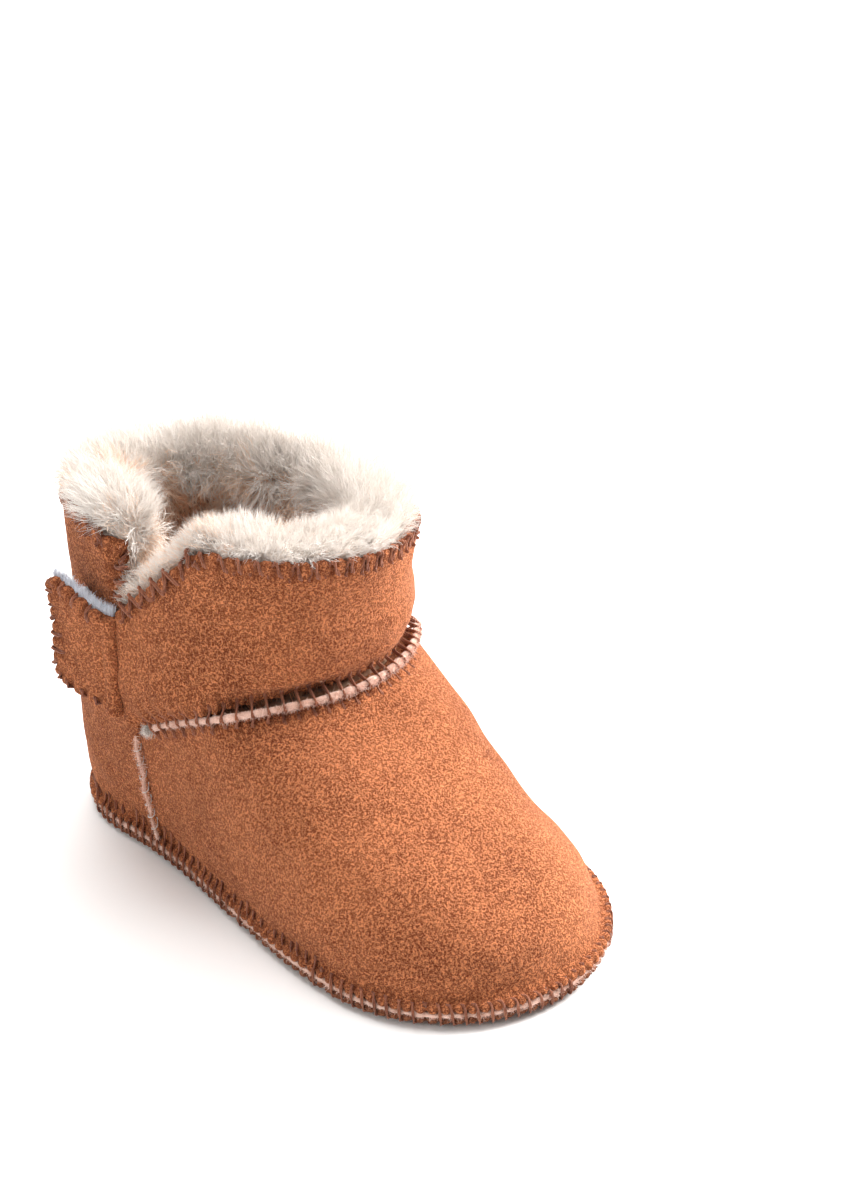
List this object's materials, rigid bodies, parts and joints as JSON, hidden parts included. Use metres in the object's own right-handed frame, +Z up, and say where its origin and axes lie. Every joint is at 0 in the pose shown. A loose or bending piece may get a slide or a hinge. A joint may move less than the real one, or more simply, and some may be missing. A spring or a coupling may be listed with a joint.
{
  "type": "baby bootie",
  "caption": "Soft ankle-high sheepskin bootie for a baby's right foot, suede outside and wool inside, with an overlocked sole seam and a side tab that closes on a loop strip.",
  "frame": {"origin": "on the floor under the middle of the last, where the sole rests", "axes": "+Z up, +Y towards the heel, -Y towards the toe, -X towards the outer side of the foot"},
  "size_m": [0.0623, 0.1184, 0.0702],
  "materials": {
    "suede": "short-napped tan suede",
    "fleece": "cream shearling wool, browner deep inside",
    "seam_wool": "wool squeezed out of a seam",
    "thread": "matt brown overlock thread",
    "tape_thread": "pale thread",
    "hook_tape": "woven nylon hook tape",
    "loop_tape": "brushed nylon loop tape"
  },
  "bodies": {
    "upper": {"sole": "suede", "sole_fleece": "fleece", "vamp_shell": "suede", "vamp_fleece": "fleece", "heel_shell": "suede", "heel_fleece": "fleece", "cuff_band": "suede", "cuff_fleece": "fleece", "loop_strip": "loop_tape", "loop_strip_stitching": "tape_thread", "cuff_edge_stitching": "thread", "cuff_end_stitching": "thread", "heel_edge_stitching": "thread", "ankle_seam_fleece": "seam_wool", "ankle_seam_stitching": "thread", "side_seam_fleece_outer": "seam_wool", "side_seam_fleece_inner": "seam_wool", "side_seam_stitching_outer": "tape_thread", "side_seam_stitching_inner": "tape_thread", "sole_seam_fleece": "seam_wool", "sole_seam_stitching": "thread"},
    "tab": {"closure_tab": "suede", "hook_strip": "hook_tape", "hook_strip_stitching": "tape_thread", "tab_edge_stitching": "thread"}
  },
  "joints": [
    {"name": "tab_swing", "type": "hinge", "parent": "upper", "child": "tab", "pos_m": [-0.02786, 0.024, 0.0425], "axis": [0, 0, 1], "range_deg": [-12.5, 105]}
  ]
}
